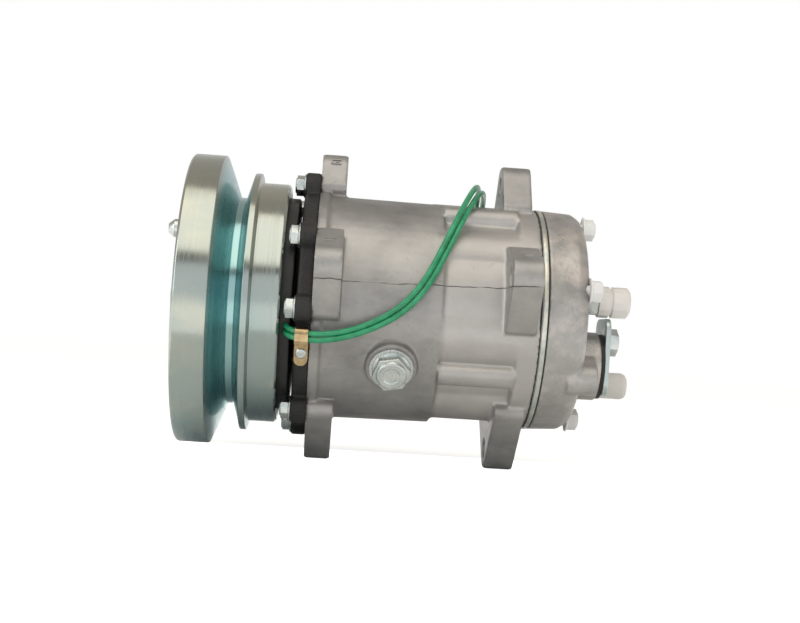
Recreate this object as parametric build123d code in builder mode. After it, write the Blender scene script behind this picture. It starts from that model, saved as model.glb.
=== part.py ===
from build123d import *
from math import asin, atan, cos, degrees, pi, radians, sin, sqrt, tan
import os

# Open-drive wobble-plate refrigerant compressor with an electromagnetic clutch.
# Millimetres. The shaft runs along +X from the clutch to the cylinder head, and +Z is up.
# The origin is on the shaft axis, in the joint face between front housing and cylinder block.
# Angles called "a" are heights round the shaft: 0 is -Y, 90 is up, -90 is down.

# ---- driving dimensions: mechanism ----
CYLINDERS = 7
BORE = 29.3
STROKE = 32.8
BALL_CIRCLE = 39.9          # radius of the rod balls round the wobble plate
WOBBLE_X = 38.0             # where the shaft axis meets the wobble plate's ball plane
ROD_LENGTH = 48.0           # between the two ball centres of a rod
ROD_BALL = 6.0
PISTON_BALL = 4.6
ROD_RADIUS = 3.4
BALL_FIT = 0.05
CROWN = 10.5                # piston crown ahead of its ball's centre
CENTRE_BALL = 6.5
GEAR_TEETH = 13

# ---- driving dimensions: casings ----
CASE_R = 58.0
CAVITY_R = 53.0
FLANGE_X = 6.0              # back of the block's front rim
BLOCK_X = 64.0              # front face of the cylinder barrels inside the crankcase
NECK_X = 65.0               # where the crankcase steps down to the barrels outside
NECK_R = 54.6
SIDE_PAD = (27.0, -18.0)    # height angles of the raised pad between the barrels' ridges
REAR_RIM_X = 103.0
DECK_X = 113.4
HEAD_X = 117.0
HEAD_END = 137.8
HEAD_R = 58.5
EARS = (                    # height angle, its two housing bolts, its rear shoulders
    (90.0, (82.0, 122.0), (73.0, 107.0)),
    (15.0, (31.0, -3.0), (31.0, -5.0)),
    (-90.0, (-58.0, -98.0), (-56.0, -120.0)),
    (-165.0, (-149.0, 177.0), (-149.0, 175.0)),
)
EAR_ANGLES = tuple(ear[0] for ear in EARS)
EAR_R = 70.4                # bolt holes of the ears from the shaft axis
EAR_NOSE = 10.6
EAR_HOLE = 5.2
FRONT_EAR = (0.0, 13.5)
REAR_EAR = (95.5, 111.0)
HOUSING_BOLT_ANGLES = tuple(a for ear in EARS for a in ear[1])
HOUSING_BOLT_R = 63.0
HEAD_BOLT_R = 52.0
HEAD_BOLT_TURN = 68.3
M6 = 3.0
M6_HOLE = 3.1

# ---- driving dimensions: clutch ----
RING_FRONT = -66.9
RING_R = 76.0
RIM_BACK = -15.4
GROOVE_BOTTOM = 54.6
BEARING_OUT = 27.5
BEARING_IN = 17.5
BEARING_FRONT = -46.0
BEARING_BACK = -26.0
SHAFT_R = 9.5
FRONT_SCREW = (45.0, 49.0)  # radius and height angle of the dome-headed screw

# ---- driving dimensions: ports and leads ----
PORT_YZ = (-19.0, -22.7)
PORT_R = 17.75
PORT_END = 149.3            # machined face of the port boss, under the gasket
COVER_X = PORT_END + 2.1    # port cover plate's inner face
COVER_T = 2.6
CAP_END = 163.5             # far end of the service fitting's cap
WHITE_CAP_END = 173.2
COVER_YZ = (-19.0, -17.6)   # centre of the port cover plate
PLATE_BOLT = (-20.0, -9.7)
FITTING_YZ = (-26.0, 11.0)
CAP_YZ = (14.0, -33.0)
WIRE_R = 1.45
PLUG_ANGLE = -29.0
PLUG_X = 41.0

# ---- worked out from the above ----
TILT = degrees(asin(STROKE / 2 / BALL_CIRCLE))
BALL_SHIFT = (1 - cos(radians(TILT))) * BALL_CIRCLE / 2
BORE_CIRCLE = BALL_CIRCLE - BALL_SHIFT
ROD_REACH = sqrt(ROD_LENGTH**2 - BALL_SHIFT**2)
TOP_X = WOBBLE_X + STROKE / 2 + ROD_REACH
ACROSS = Plane.YZ
TILTED = Plane(
    origin=(WOBBLE_X, 0, 0),
    x_dir=(0, 1, 0),
    z_dir=(cos(radians(TILT)), 0, -sin(radians(TILT))),
)
CYLINDER_ANGLES = [90 + i * 360 / CYLINDERS for i in range(CYLINDERS)]
HEAD_BOLT_ANGLES = [HEAD_BOLT_TURN - i * 360 / CYLINDERS for i in range(CYLINDERS)]

os.makedirs("parts", exist_ok=True)


def save(builder, name):
    """Name a finished sub-part and write it."""
    builder.part.label = name
    export_step(builder.part, f"parts/{name}.step")


def polar(radius, angle):
    """(Y, Z) at a radius and an angle counted from +Y towards +Z."""
    return radius * cos(radians(angle)), radius * sin(radians(angle))


def around(radius, a):
    """(Y, Z) at a radius and a height angle a, counted from -Y towards +Z."""
    return -radius * cos(radians(a)), radius * sin(radians(a))


def turn(*points, mode=Mode.ADD):
    """Turn a closed outline of (X, radius) points about the shaft axis."""
    with BuildSketch(Plane.XZ) as outline:
        with BuildLine():
            Polyline(*points, close=True)
        make_face()
    revolve(outline.sketch, axis=Axis.X, mode=mode)


def tilted_turn(*points, mode=Mode.ADD):
    """Turn (distance along the tilted axis, radius) points about the wobble axis."""
    side = Plane(origin=TILTED.origin, x_dir=TILTED.z_dir, z_dir=(0, -1, 0))
    with BuildSketch(side) as outline:
        with BuildLine():
            Polyline(*points, close=True)
        make_face()
    revolve(outline.sketch, axis=Axis(TILTED.origin, TILTED.z_dir), mode=mode)


def rods_along(x0, x1, places, radius, mode=Mode.ADD):
    """Round bars or holes along X from x0 to x1 at the (Y, Z) places."""
    with BuildSketch(ACROSS.offset(x0)) as ends:
        with Locations(*places):
            Circle(radius)
    extrude(ends.sketch, amount=x1 - x0, mode=mode)


def hexes_along(x0, x1, places, across_flats, turned=0):
    """Hexagon bars along X from x0 to x1."""
    with BuildSketch(ACROSS.offset(x0)) as ends:
        with Locations(*places):
            RegularPolygon(across_flats / 2, 6, major_radius=False, rotation=turned)
    extrude(ends.sketch, amount=x1 - x0)


def ball_at(centre, radius, mode=Mode.ADD):
    with Locations(centre):
        Sphere(radius, mode=mode)


def ear_outline(a, x0, x1, shoulder_r, shoulder_angles, corner_r):
    """One mounting ear: a round nose about its bolt hole, widening to two round shoulders."""
    with BuildSketch(ACROSS.offset(x0)) as ear:
        with Locations(around(EAR_R, a)):
            Circle(EAR_NOSE)
        with Locations(*[around(shoulder_r, shoulder) for shoulder in shoulder_angles]):
            Circle(corner_r)
        make_hull()
    extrude(ear.sketch, amount=x1 - x0)


# ================= cylinder block and crankcase casting =================
ear_places = [around(EAR_R, a) for a in EAR_ANGLES]
bore_places = [polar(BORE_CIRCLE, f) for f in CYLINDER_ANGLES]
housing_bolt_places = [around(HOUSING_BOLT_R, a) for a in HOUSING_BOLT_ANGLES]
head_bolt_places = [around(HEAD_BOLT_R, a) for a in HEAD_BOLT_ANGLES]
ridge_places = [around(54.5, a) for a in (64.3, -34.0, -115.7, 141.0)]
plug_plane = Plane(
    origin=(PLUG_X, 0, 0),
    x_dir=(1, 0, 0),
    z_dir=(0, *around(1, PLUG_ANGLE)),
)

with BuildPart() as block:
    turn(
        (0, 0), (0, 61), (4.5, 61), (FLANGE_X, 59), (12, CASE_R + 0.6),
        (NECK_X - 0.8, CASE_R), (NECK_X, NECK_R), (REAR_RIM_X - 1, NECK_R - 0.4),
        (REAR_RIM_X, HEAD_R),
        (DECK_X, HEAD_R), (DECK_X, 0),
    )
    rods_along(BLOCK_X - 4, REAR_RIM_X, bore_places, BORE / 2 + 5.7)
    rods_along(NECK_X - 0.5, REAR_RIM_X, ridge_places, 6.2)
    with BuildSketch(ACROSS.offset(NECK_X - 1)) as side_pad:
        Circle(CASE_R - 1.4)
        Polygon((0, 0), around(2 * CASE_R, SIDE_PAD[0]), around(2 * CASE_R, SIDE_PAD[1]),
                align=None, mode=Mode.INTERSECT)
    extrude(side_pad.sketch, amount=REAR_RIM_X - NECK_X)
    for a, bolts, rear_shoulders in EARS:
        ear_outline(a, *FRONT_EAR, HOUSING_BOLT_R, bolts, 5)
        ear_outline(a, *REAR_EAR, 59.5, rear_shoulders, 4)
    with BuildSketch(plug_plane.offset(CASE_R - 8)):
        Circle(13.75)
    extrude(amount=11.5, taper=4)
    turn((-1, 0), (-1, CAVITY_R + 1), (8, CAVITY_R + 1), (8, CAVITY_R), (BLOCK_X, CAVITY_R),
         (BLOCK_X, 0), mode=Mode.SUBTRACT)
    rods_along(BLOCK_X - 5, DECK_X, bore_places, BORE / 2, mode=Mode.SUBTRACT)
    turn((BLOCK_X - 1, 0), (BLOCK_X - 1, 10.06), (84, 10.06), (84, 8.5), (DECK_X + 1, 8.5),
         (DECK_X + 1, 0), mode=Mode.SUBTRACT)
    rods_along(-1, 14, housing_bolt_places, M6_HOLE, mode=Mode.SUBTRACT)
    rods_along(DECK_X - 16, DECK_X, head_bolt_places, M6_HOLE, mode=Mode.SUBTRACT)
    rods_along(-1, DECK_X, ear_places, EAR_HOLE, mode=Mode.SUBTRACT)
    with BuildSketch(plug_plane.offset(CAVITY_R - 6)):
        Circle(6.05)
    extrude(amount=20, mode=Mode.SUBTRACT)
save(block, "cylinder_block")

with BuildPart() as oil_plug:
    with BuildSketch(plug_plane.offset(CAVITY_R - 1)):
        Circle(6)
    extrude(amount=10.2)
    with BuildSketch(plug_plane.offset(62.7)):
        RegularPolygon(8.5, 6, major_radius=False, rotation=12)
    extrude(amount=5.6)
    with BuildSketch(plug_plane.offset(68.3)):
        Circle(7.2)
    extrude(amount=1.6, taper=30)
    with BuildSketch(plug_plane.offset(61.5)):
        Circle(11)
        Circle(6.1, mode=Mode.SUBTRACT)
    extrude(amount=1.2)
save(oil_plug, "oil_plug")

# ================= front housing =================
with BuildPart() as front_housing:
    turn(
        (0, CAVITY_R + 0.9), (0, 60), (-6.6, 60), (-8, 58.6), (-8, 30), (-13.5, 30),
        (-13.5, 24), (BEARING_BACK, 24), (BEARING_BACK, BEARING_IN), (-46.25, BEARING_IN),
        (-46.25, BEARING_IN - 0.7), (-47.65, BEARING_IN - 0.7), (-47.65, BEARING_IN),
        (-49, BEARING_IN), (-49, 14.5), (-30, 14.5), (-30, 11), (-24, 11), (-24, 14.02),
        (0.8, 14.02), (0.8, 30), (-3, 33), (-3, 47), (7, 50.5), (7, CAVITY_R + 0.9),
    )
    with BuildSketch(ACROSS.offset(-8)) as lobes:
        with Locations(*housing_bolt_places):
            Circle(7.2)
    extrude(lobes.sketch, amount=8)
    for a in EAR_ANGLES:
        with BuildSketch(ACROSS.offset(-7.4)) as shoulder:
            with Locations(around(55.5, a)):
                Rectangle(15, 32, rotation=180 - a)
        extrude(shoulder.sketch, amount=7.4)
    rods_along(-8.5, 0.5, housing_bolt_places, M6_HOLE + 0.1, mode=Mode.SUBTRACT)
save(front_housing, "front_housing")

with BuildPart() as housing_bolts:
    rods_along(-8, 13, housing_bolt_places, M6)
    rods_along(-9.4, -8, housing_bolt_places, 6.3)
    hexes_along(-13.4, -9.4, housing_bolt_places, 9.6)
save(housing_bolts, "housing_bolts")

# ================= clutch =================
with BuildPart() as pulley:
    turn(
        (RING_FRONT, 67), (RING_FRONT, RING_R - 1.2), (RING_FRONT + 1.2, RING_R), (-50.1, RING_R),
        (-47, 68.5), (-41.7, GROOVE_BOTTOM), (-38.1, GROOVE_BOTTOM), (-34.2, 67.9), (-31, 67.9),
        (-30, 63.1), (-16.7, 63.1), (RIM_BACK, 61.8), (RIM_BACK, 59.5), (-33, 59), (-36, 51.2),
        (-49, 51), (-49, 31.6), (BEARING_BACK - 0.2, 31.6), (BEARING_BACK - 0.2, BEARING_OUT),
        (-46.2, BEARING_OUT), (-46.2, 24.5), (-56, 24.5), (-56, 66),
    )
    for k in range(4):
        for radius in (40.5, 47.2):
            with BuildSketch(ACROSS.offset(-57)) as slot:
                with BuildLine() as middle:
                    start, step = 90.0 * k + 12 * (radius > 44), 56.0
                    CenterArc((0, 0), radius, start, step)
                SlotArc(middle.edges()[0], 3.2)
            extrude(slot.sketch, amount=9, mode=Mode.SUBTRACT)
save(pulley, "pulley")

with BuildPart() as bearing_outer:
    turn((BEARING_FRONT, 24.6), (BEARING_FRONT, BEARING_OUT), (BEARING_BACK, BEARING_OUT),
         (BEARING_BACK, 24.6))
    for x in (-41.0, -31.0):
        with BuildSketch(Plane.XZ) as race:
            with Locations((x, 22.5)):
                Circle(3.25)
        revolve(race.sketch, axis=Axis.X, mode=Mode.SUBTRACT)

    for x in (BEARING_FRONT + 0.2, BEARING_BACK - 1.2):
        turn((x, 20.6), (x, 24.6), (x + 1, 24.6), (x + 1, 20.6))
save(bearing_outer, "pulley_bearing_outer_race")

with BuildPart() as bearing_inner:
    turn((BEARING_FRONT, BEARING_IN), (BEARING_FRONT, 20.4), (BEARING_BACK, 20.4),
         (BEARING_BACK, BEARING_IN))
    for x in (-41.0, -31.0):
        with BuildSketch(Plane.XZ) as race:
            with Locations((x, 22.5)):
                Circle(3.25)
        revolve(race.sketch, axis=Axis.X, mode=Mode.SUBTRACT)
save(bearing_inner, "pulley_bearing_inner_race")

with BuildPart() as bearing_balls:
    for x in (-41.0, -31.0):
        for k in range(16):
            ball_at((x, *polar(22.5, k * 22.5)), 3.2)
save(bearing_balls, "pulley_bearing_balls")

with BuildPart() as snap_rings:
    turn((-47.6, BEARING_IN - 0.65), (-47.6, 19.8), (-46.3, 19.8), (-46.3, BEARING_IN - 0.65))
    turn((-17.5, 24.05), (-17.5, 30), (-16.1, 30), (-16.1, 24.05))
    turn((-44, 11.5), (-44, 14.45), (-42.8, 14.45), (-42.8, 11.5))
save(snap_rings, "snap_rings")

with BuildPart() as coil_shell:
    turn(
        (-46.5, 33.2), (-46.5, 36), (-26, 36), (-26, 46.6), (-46.5, 46.6), (-46.5, 49.4),
        (-22, 49.4), (-21, 56), (-10.5, 56), (-10, 55.5), (-10, 30.2), (-13.6, 30.2),
        (-13.6, 24.2), (-16, 24.2), (-16, 33.2),
    )
    with BuildSketch(ACROSS.offset(-9.9)) as tab:
        with Locations(around(57.5, -79.0)):
            Rectangle(8, 13, rotation=180 + 79)
    extrude(tab.sketch, amount=1.8)
save(coil_shell, "coil_shell")

with BuildPart() as coil_winding:
    turn((-45.5, 36.1), (-45.5, 46.5), (-26.1, 46.5), (-26.1, 36.1))
save(coil_winding, "coil_winding")

stud_angles = [FRONT_SCREW[1] + 120 * k for k in range(3)]
armature_studs = [around(34.0, a) for a in stud_angles]
spring_rivets = [around(56.0, a + 60) for a in stud_angles]
front_screw = [around(*FRONT_SCREW)]
with BuildPart() as armature:
    turn((-61.1, 30), (-61.1, 61.5), (-56.5, 61.5), (-56.5, 30))
    for radius in (40.5, 47.2):
        for k in range(3):
            with BuildSketch(ACROSS.offset(-62)) as slot:
                with BuildLine() as middle:
                    CenterArc((0, 0), radius + 3.0, 120.0 * k + 20 * (radius > 44), 76)
                SlotArc(middle.edges()[0], 2.6)
            extrude(slot.sketch, amount=6, mode=Mode.SUBTRACT)
    rods_along(-62, -56, spring_rivets, 2.6, mode=Mode.SUBTRACT)
save(armature, "armature_plate")

with BuildPart() as springs:
    for k in range(3):
        with BuildSketch(ACROSS.offset(-62.4)) as leaf:
            with Locations(spring_rivets[k], armature_studs[k]):
                Circle(5.2)
            make_hull()
            with Locations(spring_rivets[k]):
                Circle(2.6, mode=Mode.SUBTRACT)
            with Locations(armature_studs[k]):
                Circle(3.1, mode=Mode.SUBTRACT)
        extrude(leaf.sketch, amount=1.1)
    rods_along(-62.7, -58.0, spring_rivets, 2.5)
    rods_along(-64.0, -62.6, spring_rivets, 4.4)
save(springs, "armature_leaf_springs")

with BuildPart() as hub:
    turn((-66, 8.02), (-66, 13), (-65, 14), (-60, 14), (-52.5, 12.5), (-52.5, 8.02))
    with BuildSketch(ACROSS.offset(-64.6)) as hub_plate:
        with Locations(*armature_studs, *front_screw):
            Circle(7.5)
        Circle(16)
        make_hull()
        Circle(8.02, mode=Mode.SUBTRACT)
        with Locations(*armature_studs, *front_screw):
            Circle(3.1, mode=Mode.SUBTRACT)
    extrude(hub_plate.sketch, amount=2.1)
save(hub, "clutch_hub")

with BuildPart() as studs:
    rods_along(-64.7, -61.2, armature_studs + front_screw, 3)
    rods_along(-66.4, -64.7, armature_studs, 4.6)
    rods_along(-72.6, -64.7, front_screw, 4.75)
    with BuildSketch(ACROSS.offset(-72.6)) as dome:
        with Locations(*front_screw):
            Circle(4.75)
    extrude(dome.sketch, amount=-2.9, taper=38)
save(studs, "hub_studs")

with BuildPart() as shaft_nut:
    hexes_along(-73.5, -67.2, [(0, 0)], 17)
    rods_along(-67.4, -66.05, [(0, 0)], 10.5)
    rods_along(-74, -66, [(0, 0)], 6.05, mode=Mode.SUBTRACT)
    with BuildSketch(Plane.XY.offset(6.25)) as key_plan:
        with Locations((-58, 0)):
            Rectangle(8.9, 4)
    extrude(key_plan.sketch, amount=1.4)
save(shaft_nut, "shaft_nut_and_key")

# ================= shaft and cam =================
with BuildPart() as shaft:
    turn((-75.5, 0), (-75.5, 5), (-74.8, 6), (-66.0, 6), (-66.0, 8), (-51, 8), (-51, SHAFT_R),
         (12, SHAFT_R), (12, 0))
    with BuildSketch(Plane.XY.offset(6.2)) as keyway:
        with Locations((-58, 0)):
            Rectangle(9, 4.04)
    extrude(keyway.sketch, amount=4, mode=Mode.SUBTRACT)
save(shaft, "drive_shaft")

CAM_GAP = -13.0
with BuildPart() as cam:
    turn((3.8, 0), (3.8, 29), (6.6, 29), (6.6, 38), (46, 38), (46, 0))
    split(bisect_by=TILTED.offset(CAM_GAP), keep=Keep.BOTTOM)
    with BuildSketch(ACROSS.offset(6.5)) as pocket:
        with BuildLine() as pocket_line:
            CenterArc((0, 0), 33.5, 25, 130)
        SlotArc(pocket_line.edges()[0], 4.4)
    extrude(pocket.sketch, amount=14, mode=Mode.SUBTRACT)
    turn((0, 0), (0, SHAFT_R + 0.02), (12.02, SHAFT_R + 0.02), (12.02, 0), mode=Mode.SUBTRACT)
save(cam, "cam_rotor")


def thrust_rollers(builder_plane, at, inner, outer, radius, count):
    """A flat cage with rollers lying along its radii, as one piece of a thrust bearing."""
    with BuildSketch(builder_plane.offset(at - 0.4)) as cage:
        Circle(outer)
        Circle(inner, mode=Mode.SUBTRACT)
    extrude(cage.sketch, amount=0.8)
    middle = builder_plane.offset(at)
    for k in range(count):
        f = radians(k * 360 / count)
        out = middle.x_dir * cos(f) + middle.y_dir * sin(f)
        with BuildSketch(Plane(origin=middle.origin + out * (inner + 1.2), z_dir=out)) as end:
            Circle(radius)
        extrude(end.sketch, amount=outer - inner - 2.4)


with BuildPart() as front_rollers:
    thrust_rollers(ACROSS, 2.3, 15.5, 28, 1.45, 18)
save(front_rollers, "front_thrust_rollers")

with BuildPart() as needles:
    turn((-23.9, 12.2), (-23.9, 14), (-4.2, 14), (-4.2, 12.2))
    rods_along(-22.5, -5.5, [polar(10.82, k * 24) for k in range(15)], 1.25)
save(needles, "shaft_needle_bearing")

with BuildPart() as shaft_seal:
    turn((-42, 9.85), (-42, 14.4), (-34, 14.4), (-34, 13), (-40.5, 13), (-40.5, 9.85))
save(shaft_seal, "shaft_seal")

# ================= wobble plate =================
PLATE_BACK = -10.0
PLATE_TOP = 2.0
socket_places = [polar(BALL_CIRCLE, f) for f in CYLINDER_ANGLES]
ball_centres = [TILTED.from_local_coords((*p, 0)) for p in socket_places]
pin_centres = [(c.X + ROD_REACH, *b) for c, b in zip(ball_centres, bore_places)]

with BuildPart() as plate:
    tilted_turn((PLATE_BACK, 24.1), (PLATE_BACK, 46), (-7, 48), (-3, 48), (-3, 29),
                (-8, 29), (-8, 24.1))
    with BuildSketch(TILTED.offset(-6)) as bosses:
        with Locations(*socket_places):
            Circle(8.6)
    extrude(bosses.sketch, amount=PLATE_TOP + 6)
    with BuildSketch(TILTED.offset(-11)) as scallops:
        with PolarLocations(51.5, CYLINDERS, start_angle=90 + 180 / CYLINDERS):
            Circle(9)
    extrude(scallops.sketch, amount=20, mode=Mode.SUBTRACT)
    for centre in ball_centres:
        ball_at(centre, ROD_BALL + BALL_FIT, mode=Mode.SUBTRACT)
save(plate, "wobble_plate")

HALF_TILT = TILT / 2
PITCH = tan(radians(HALF_TILT))
ROOT = 1.2                  # gear root below the pitch cone
SEAT = CENTRE_BALL + BALL_FIT
# radius at which the root cone meets the centre ball's seat
SEAT_R = (sqrt(SEAT**2 * (1 + PITCH**2) - ROOT**2) - ROOT * PITCH) / (1 + PITCH**2)


def bevel_gear(facing, away, first):
    """Bevel teeth about a plane's normal; the cone's point is at the centre ball."""
    origin = Vector(*facing.origin)
    for k in range(GEAR_TEETH):
        f = radians(first + k * 360 / GEAR_TEETH)
        flat = facing.x_dir * cos(f) + facing.y_dir * sin(f)
        along = (flat * cos(radians(HALF_TILT)) + facing.z_dir * away * sin(radians(HALF_TILT)))
        side = facing.z_dir.cross(flat)
        tooth = Plane(origin=origin + along * 14.4, x_dir=side, z_dir=along)
        up = tooth.y_dir.dot(facing.z_dir) * away
        lift = -1.0 if up > 0 else 1.0
        with BuildSketch(tooth) as end:
            with BuildLine():
                Polyline((-1.7, -1.8 * lift), (-1.0, 1.0 * lift), (1.0, 1.0 * lift),
                         (1.7, -1.8 * lift), close=True)
            make_face()
        extrude(end.sketch, amount=9)


def gear_blank(side, away, *points):
    """Turn a gear's body; its outline ends in the arc of the centre ball's seat."""
    with BuildSketch(side) as outline:
        with BuildLine():
            edge = (away * (SEAT_R * PITCH + ROOT), SEAT_R)
            middle = atan(edge[1] / abs(edge[0])) / 2
            Polyline((away * SEAT, 0), *points, edge)
            ThreePointArc(edge, (away * SEAT * cos(middle), SEAT * sin(middle)),
                          (away * SEAT, 0))
        make_face()
    revolve(outline.sketch, axis=Axis(side.origin, side.x_dir))


tilted_side = Plane(origin=TILTED.origin, x_dir=TILTED.z_dir, z_dir=(0, -1, 0))
with BuildPart() as planet_gear:
    gear_blank(tilted_side, -1, (-9.9, 0), (-9.9, 24), (-24 * PITCH - ROOT, 24))
    bevel_gear(TILTED, -1, CYLINDER_ANGLES[0] + 180 / GEAR_TEETH)
save(planet_gear, "wobble_gear")

with BuildPart() as planet_rollers:
    thrust_rollers(TILTED, -11.5, 25, 37, 1.4, 24)
save(planet_rollers, "wobble_thrust_rollers")

with BuildPart() as centre_ball:
    ball_at((WOBBLE_X, 0, 0), CENTRE_BALL)
save(centre_ball, "centre_ball")

upright = Plane(origin=(WOBBLE_X, 0, 0), x_dir=(0, 1, 0), z_dir=(1, 0, 0))
with BuildPart() as fixed_gear:
    gear_blank(Plane.XZ.offset(0).move(Location((WOBBLE_X, 0, 0))), 1, (32, 0), (32, 7),
               (38, 7), (38, 10), (12, 10), (12, 23.5), (23.5 * PITCH + ROOT, 23.5))
    bevel_gear(upright, 1, CYLINDER_ANGLES[0])
save(fixed_gear, "fixed_gear")

with BuildPart() as gear_spring:
    turn((76.1, 7.2), (76.1, 9.9), (83.9, 9.9), (83.9, 7.2))
save(gear_spring, "gear_preload_spring")

rod_seat = ROD_BALL + BALL_FIT
rod_seat_half = asin(ROD_RADIUS / rod_seat) / 2
neck = ROD_LENGTH - sqrt(PISTON_BALL**2 - ROD_RADIUS**2)
pin_seat = PISTON_BALL + BALL_FIT
PISTON_R = BORE / 2 - 0.03
LIP = 1.5                   # the piston's socket closes this far past the ball's middle
lip_r = sqrt(pin_seat**2 - LIP**2)

for i in range(CYLINDERS):
    ball, pin = Vector(*ball_centres[i]), Vector(*pin_centres[i])
    along = (pin - ball).normalized()
    with BuildPart() as rod_ball:
        ball_at(ball, ROD_BALL)
    save(rod_ball, f"rod_ball_{i + 1}")

    with BuildPart() as rod:
        with BuildSketch(Plane(origin=ball, x_dir=along, z_dir=along.cross(Vector(0, 0, 1)))) as cut:
            with BuildLine():
                Line((rod_seat, 0), (ROD_LENGTH + PISTON_BALL, 0))
                ThreePointArc((ROD_LENGTH + PISTON_BALL, 0), (ROD_LENGTH, PISTON_BALL),
                              (neck, ROD_RADIUS))
                Line((neck, ROD_RADIUS), (rod_seat * cos(2 * rod_seat_half), ROD_RADIUS))
                ThreePointArc(
                    (rod_seat * cos(2 * rod_seat_half), ROD_RADIUS),
                    (rod_seat * cos(rod_seat_half), rod_seat * sin(rod_seat_half)),
                    (rod_seat, 0),
                )
            make_face()
        revolve(cut.sketch, axis=Axis(ball, along))
    save(rod, f"connecting_rod_{i + 1}")

    bore_y, bore_z = bore_places[i]
    through_bore = Plane(origin=(pin.X, bore_y, bore_z), x_dir=(1, 0, 0), z_dir=(0, -1, 0))
    with BuildPart() as piston:
        with BuildSketch(through_bore) as outline:
            with BuildLine():
                Polyline(
                    (pin_seat, 0), (CROWN, 0), (CROWN, PISTON_R), (CROWN - 3, PISTON_R),
                    (CROWN - 3, PISTON_R - 1.3), (CROWN - 4.6, PISTON_R - 1.3),
                    (CROWN - 4.6, PISTON_R), (CROWN - 6.5, PISTON_R),
                    (CROWN - 6.5, PISTON_R - 1.3), (CROWN - 8.1, PISTON_R - 1.3),
                    (CROWN - 8.1, PISTON_R), (CROWN - 30, PISTON_R), (CROWN - 30, 11.4),
                    (CROWN - 5, 11.4), (CROWN - 5, 7.2), (CROWN - 14, 7.2),
                    (CROWN - 14, 5.6), (-LIP, lip_r),
                )
                ThreePointArc((-LIP, lip_r), (pin_seat * cos(1), pin_seat * sin(1)),
                              (pin_seat, 0))
            make_face()
        revolve(outline.sketch, axis=Axis(through_bore.origin, (1, 0, 0)))
        for back in (3.05, 6.55):
            with BuildSketch(ACROSS.offset(pin.X + CROWN - back - 1.5)) as ring:
                with Locations((bore_y, bore_z)):
                    Circle(BORE / 2 - 0.02)
                    Circle(PISTON_R - 1.25, mode=Mode.SUBTRACT)
            extrude(ring.sketch, amount=1.5)
    save(piston, f"piston_{i + 1}")

# ================= valve plate stack and head =================
def disc(x0, x1, radius, holes, hole_radius):
    """A round sheet with bolt holes, and more holes of another size."""
    with BuildSketch(ACROSS.offset(x0)) as sheet:
        Circle(radius)
        with Locations(*head_bolt_places):
            Circle(M6_HOLE + 0.1, mode=Mode.SUBTRACT)
        if holes:
            with Locations(*holes):
                Circle(hole_radius, mode=Mode.SUBTRACT)
    extrude(sheet.sketch, amount=x1 - x0)


outlet_places = [polar(BORE_CIRCLE - 7.5, f) for f in CYLINDER_ANGLES]
inlet_places = [polar(BORE_CIRCLE + 7.0, f) for f in CYLINDER_ANGLES]

with BuildPart() as gaskets:
    disc(DECK_X, DECK_X + 0.5, HEAD_R - 0.2, bore_places, BORE / 2 + 0.4)
    disc(DECK_X + 3.1, HEAD_X, HEAD_R - 0.2, inlet_places, 5)
    rods_along(DECK_X + 3, HEAD_X + 1, [(0, 0)], 35.4, mode=Mode.SUBTRACT)
    rods_along(PORT_END, COVER_X, [PORT_YZ], 16.8)
    rods_along(PORT_END - 0.5, COVER_X + 0.5, [PORT_YZ], 7.6, mode=Mode.SUBTRACT)
    turn((7.1, 51), (7.1, CAVITY_R - 0.05), (9, CAVITY_R - 0.05), (9, 51))
save(gaskets, "gaskets")

with BuildPart() as reeds:
    disc(DECK_X + 0.5, DECK_X + 0.8, HEAD_R - 0.6, outlet_places, 3.4)
    for f in CYLINDER_ANGLES:
        with BuildSketch(ACROSS.offset(DECK_X + 0.4)) as slit:
            with Locations(polar(BORE_CIRCLE + 3, f)):
                SlotOverall(19, 10.5, rotation=f)
                SlotOverall(17.4, 8.9, rotation=f, mode=Mode.SUBTRACT)
            with Locations(polar(BORE_CIRCLE - 4.5, f)):
                Rectangle(6, 8.9, rotation=f, mode=Mode.SUBTRACT)
        extrude(slit.sketch, amount=0.5, mode=Mode.SUBTRACT)
    for f in CYLINDER_ANGLES:
        with BuildSketch(ACROSS.offset(DECK_X + 3.1)) as reed:
            with Locations(polar(BORE_CIRCLE - 14.6, f)):
                SlotOverall(21, 8.6, rotation=f)
        extrude(reed.sketch, amount=0.35)
    rods_along(DECK_X + 3.1, DECK_X + 3.45, [(0, 0)], 19)
    rods_along(DECK_X + 3.6, DECK_X + 5.2, [(0, 0)], 32.5)
    rods_along(DECK_X + 5.2, DECK_X + 9.2, [(0, 0)], 5)
save(reeds, "valve_reeds")

with BuildPart() as valve_plate:
    disc(DECK_X + 0.8, DECK_X + 3.1, HEAD_R + 0.2, outlet_places, 3.2)
    rods_along(DECK_X, DECK_X + 4, inlet_places, 3.2, mode=Mode.SUBTRACT)
save(valve_plate, "valve_plate")

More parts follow.
